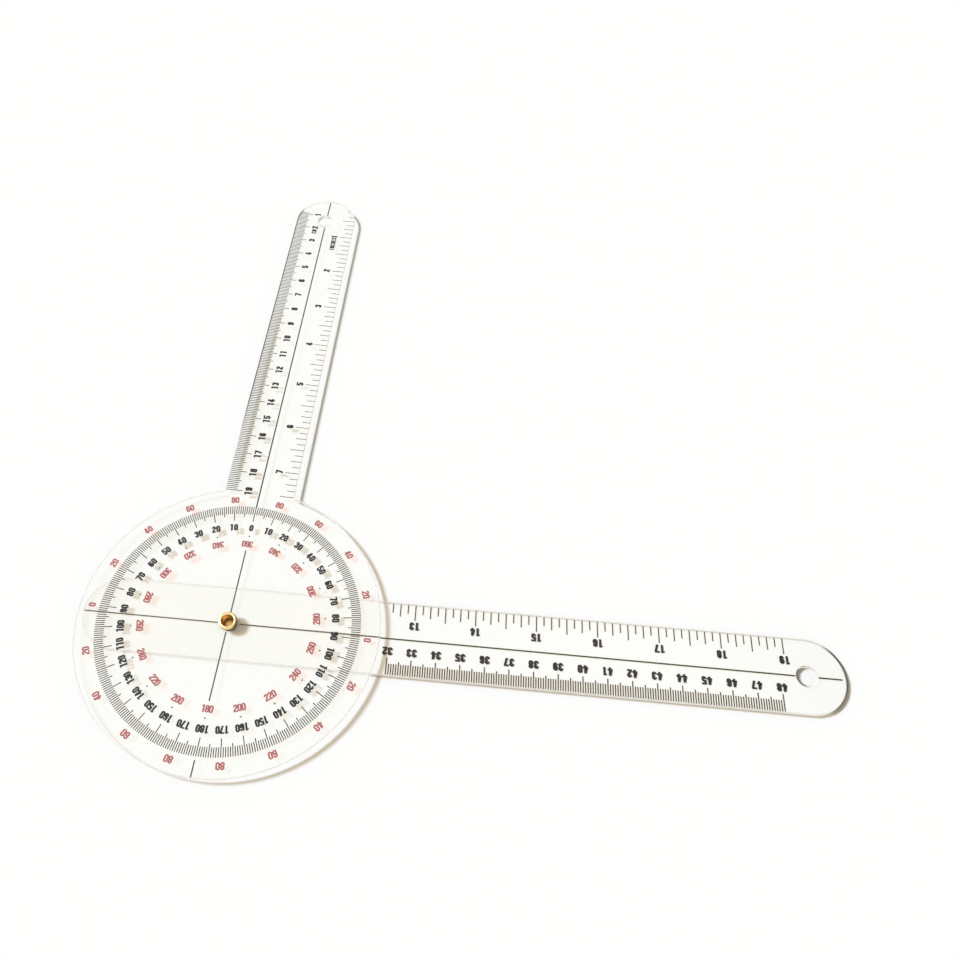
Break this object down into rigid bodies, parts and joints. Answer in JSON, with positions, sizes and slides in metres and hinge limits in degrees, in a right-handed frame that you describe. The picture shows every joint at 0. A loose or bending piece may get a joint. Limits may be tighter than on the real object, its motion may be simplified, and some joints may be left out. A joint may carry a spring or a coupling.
{
  "type": "angle finder with arms",
  "caption": "Clear plastic angle finder: a round degree dial with a fixed arm and a turning arm, joined by a hollow brass eyelet, with a hanging hole in each arm.",
  "frame": {"origin": "on the pivot's axis, in the eyelet's bore, level with the moving arm's lower face", "axes": "+Z along the pivot towards the reader of the dial, +Y along the fixed arm"},
  "size_m": [0.3168, 0.317, 0.0054],
  "materials": {
    "clear_dial": "clear, glossy",
    "clear_arm": "clear, glossy",
    "eyelet_brass": "polished"
  },
  "bodies": {
    "dial": {"protractor": "clear_dial", "pivot_eyelet": "eyelet_brass"},
    "arm": {"moving_arm": "clear_arm"}
  },
  "joints": [
    {"name": "pivot", "type": "hinge", "parent": "dial", "child": "arm", "pos_m": [0, 0, 0], "axis": [0, 0, 1], "continuous": true}
  ]
}
